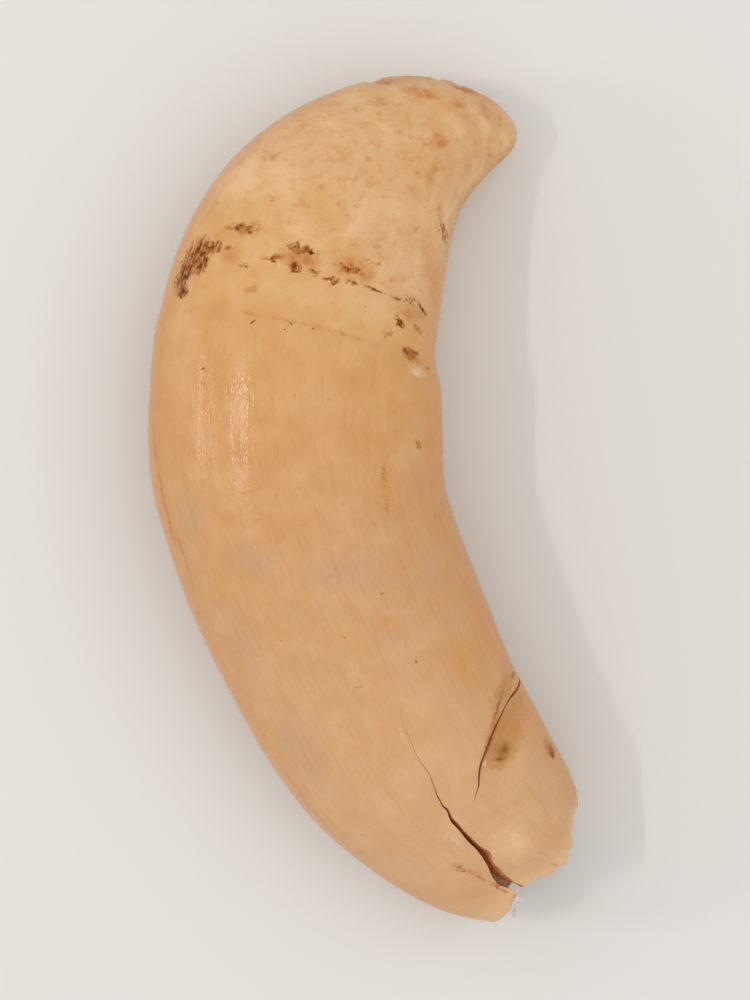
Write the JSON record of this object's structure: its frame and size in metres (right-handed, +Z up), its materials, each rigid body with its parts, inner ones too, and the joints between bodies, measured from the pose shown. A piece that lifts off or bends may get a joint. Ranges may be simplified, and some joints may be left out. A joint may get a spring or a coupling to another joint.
{
  "type": "whale tooth",
  "caption": "Curved sperm whale tooth lying on its side, with a hooked crown, a low ledge of cementum round the neck and a cracked, hollow root.",
  "frame": {"origin": "under the middle of the tooth's bounding box, on the surface that it lies on", "axes": "+Y along the tooth from the root to the crown, +X towards the side that the crown hooks to, +Z up from the surface that it lies on"},
  "size_m": [0.1014, 0.2004, 0.0512],
  "materials": {
    "ivory": "satin",
    "cotton": "matte"
  },
  "bodies": {
    "root": {"tooth": "ivory", "thread_wisp": "cotton"}
  },
  "joints": []
}
